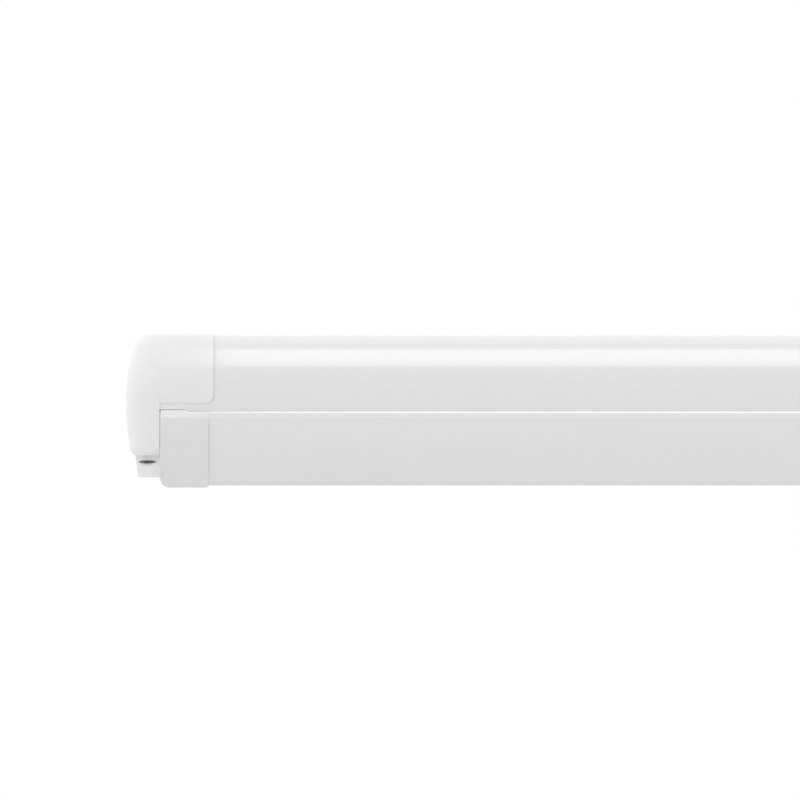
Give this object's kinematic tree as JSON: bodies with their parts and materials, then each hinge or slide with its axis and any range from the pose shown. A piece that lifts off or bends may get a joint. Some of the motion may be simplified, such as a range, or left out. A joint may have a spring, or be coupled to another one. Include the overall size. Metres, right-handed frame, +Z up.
{
  "type": "roll out awning",
  "caption": "Closed cassette awning for a camper: curved front cover, moulded end caps, a lead rail that runs out on folding arms, and swing-down support legs.",
  "frame": {"origin": "on the wall plane, at the centre of the middle wall bracket's screw pattern", "axes": "+X along the awning from the winch end, +Y into the wall, +Z up; the front faces -Y"},
  "size_m": [2.6, 0.1149, 0.1387],
  "materials": {
    "cover_enamel": "glossy white powder coat",
    "case_enamel": "glossy white powder coat",
    "cap_plastic": "gloss white, moulded",
    "seal_rubber": "light grey, matte",
    "zinc_steel": "zinc plated",
    "pin_steel": "stainless, satin",
    "plate_casting": "as cast, satin",
    "bearing_plastic": "dark nylon, satin",
    "mill_aluminium": "mill finish",
    "canopy_cloth": "coated woven cloth, grey",
    "bead_plastic": "white cord, matte",
    "arm_enamel": "white powder coat, satin",
    "arm_casting": "white powder coat on a casting, satin",
    "leg_aluminium": "anodised, satin",
    "leg_plastic": "mid grey, satin"
  },
  "bodies": {
    "housing": {"front_cover": "cover_enamel", "cover_seal": "seal_rubber", "case_back": "case_enamel", "wall_brackets": "zinc_steel", "side_cap_left": "cap_plastic", "side_cap_right": "cap_plastic", "end_plate_left": "plate_casting", "end_plate_right": "plate_casting", "roller_bushes": "bearing_plastic", "shoulder_brackets": "plate_casting", "shoulder_pins": "pin_steel", "cap_screws": "pin_steel"},
    "roller": {"roller_tube": "mill_aluminium", "fabric_roll": "canopy_cloth", "roller_plug_left": "bearing_plastic", "roller_plug_right": "bearing_plastic", "worm_wheel": "bearing_plastic"},
    "winch": {"worm_shaft": "zinc_steel", "crank_eye": "zinc_steel"},
    "fabric_hem": {"fabric_lead": "canopy_cloth"},
    "lead_rail": {"lead_rail": "case_enamel", "rail_cap_left": "cap_plastic", "rail_cap_right": "cap_plastic", "hem_bead": "bead_plastic", "wrist_brackets": "plate_casting", "wrist_pins": "pin_steel", "leg_hangers": "plate_casting", "leg_pins": "pin_steel"},
    "rear_arm_left": {"rear_arm_tube_left": "arm_enamel", "shoulder_knuckle_left": "arm_casting", "elbow_fork_left": "arm_casting", "elbow_pin_left": "pin_steel"},
    "forearm_left": {"front_arm_tube_left": "arm_enamel", "elbow_tongue_left": "arm_casting", "wrist_knuckle_left": "arm_casting"},
    "leg_left": {"leg_knuckle_left": "leg_plastic", "leg_tube_left": "leg_aluminium", "leg_collar_left": "leg_plastic"},
    "lever_left": {"clamp_lever_left": "leg_plastic"},
    "leg_inner_left": {"inner_leg_left": "leg_aluminium", "foot_post_left": "leg_plastic", "foot_pin_left": "pin_steel"},
    "foot_left": {"foot_left": "leg_plastic"},
    "rear_arm_right": {"rear_arm_tube_right": "arm_enamel", "shoulder_knuckle_right": "arm_casting", "elbow_fork_right": "arm_casting", "elbow_pin_right": "pin_steel"},
    "forearm_right": {"front_arm_tube_right": "arm_enamel", "elbow_tongue_right": "arm_casting", "wrist_knuckle_right": "arm_casting"},
    "leg_right": {"leg_knuckle_right": "leg_plastic", "leg_tube_right": "leg_aluminium", "leg_collar_right": "leg_plastic"},
    "lever_right": {"clamp_lever_right": "leg_plastic"},
    "leg_inner_right": {"inner_leg_right": "leg_aluminium", "foot_post_right": "leg_plastic", "foot_pin_right": "pin_steel"},
    "foot_right": {"foot_right": "leg_plastic"}
  },
  "joints": [
    {"name": "left_shoulder", "type": "hinge", "parent": "housing", "child": "rear_arm_left", "pos_m": [-1.222, -0.027, -0.036], "axis": [0, 0.1392, -0.9903], "range_deg": [0, 68]},
    {"name": "left_elbow", "type": "hinge", "parent": "rear_arm_left", "child": "forearm_left", "pos_m": [-0.1354, -0.03888, -0.03767], "axis": [0, 0.1392, -0.9903], "range_deg": [-136, 0]},
    {"name": "left_wrist", "type": "hinge", "parent": "forearm_left", "child": "lead_rail", "pos_m": [-1.222, -0.05077, -0.03934], "axis": [0, 0.1392, -0.9903], "range_deg": [0, 68]},
    {"name": "right_shoulder", "type": "hinge", "parent": "housing", "child": "rear_arm_right", "pos_m": [1.222, -0.027, -0.036], "axis": [0, 0.1392, -0.9903], "range_deg": [-68, 0]},
    {"name": "right_elbow", "type": "hinge", "parent": "rear_arm_right", "child": "forearm_right", "pos_m": [0.1354, -0.03888, -0.03767], "axis": [0, 0.1392, -0.9903], "range_deg": [0, 136]},
    {"name": "roller_spin", "type": "hinge", "parent": "housing", "child": "roller", "pos_m": [0, -0.047, 0.0245], "axis": [1, 0, 0], "range_deg": [-4059, 0]},
    {"name": "winch_spin", "type": "hinge", "parent": "housing", "child": "winch", "pos_m": [-1.2802, -0.06891, 0.02916], "axis": [0, 0.2079, 0.9781], "range_deg": [-28403, 0]},
    {"name": "fabric_run", "type": "slide", "parent": "housing", "child": "fabric_hem", "axis": [0, -0.9903, -0.1392], "range_m": [0, 2]},
    {"name": "left_leg_swing", "type": "hinge", "parent": "lead_rail", "child": "leg_left", "pos_m": [-1.196, -0.0952, -0.05], "axis": [0, 1, 0], "range_deg": [0, 90]},
    {"name": "left_leg_slide", "type": "slide", "parent": "leg_left", "child": "leg_inner_left", "axis": [1, 0, 0], "range_m": [0, 1]},
    {"name": "left_foot_swivel", "type": "hinge", "parent": "leg_inner_left", "child": "foot_left", "pos_m": [0.004, -0.0952, -0.05], "axis": [0, 1, 0], "range_deg": [-20, 45]},
    {"name": "left_clamp_lever", "type": "hinge", "parent": "leg_left", "child": "lever_left", "pos_m": [-0.052, -0.0952, -0.0671], "axis": [0, 1, 0], "range_deg": [0, 80]},
    {"name": "right_leg_swing", "type": "hinge", "parent": "lead_rail", "child": "leg_right", "pos_m": [1.196, -0.0758, -0.05], "axis": [0, -1, 0], "range_deg": [0, 90]},
    {"name": "right_leg_slide", "type": "slide", "parent": "leg_right", "child": "leg_inner_right", "axis": [-1, 0, 0], "range_m": [0, 1]},
    {"name": "right_foot_swivel", "type": "hinge", "parent": "leg_inner_right", "child": "foot_right", "pos_m": [-0.004, -0.0758, -0.05], "axis": [0, -1, 0], "range_deg": [-20, 45]},
    {"name": "right_clamp_lever", "type": "hinge", "parent": "leg_right", "child": "lever_right", "pos_m": [0.052, -0.0758, -0.0671], "axis": [0, -1, 0], "range_deg": [0, 80]}
  ],
  "couplings": [
    {"joint": "left_elbow", "follows": "left_shoulder", "ratio": -2},
    {"joint": "left_wrist", "follows": "left_shoulder", "ratio": 1},
    {"joint": "right_shoulder", "follows": "left_shoulder", "ratio": -1},
    {"joint": "right_elbow", "follows": "left_shoulder", "ratio": 2},
    {"joint": "roller_spin", "follows": "left_shoulder", "ratio": -59.667},
    {"joint": "winch_spin", "follows": "left_shoulder", "ratio": -417.67},
    {"joint": "fabric_run", "follows": "left_shoulder", "m_per_rad": 1.6851}
  ]
}
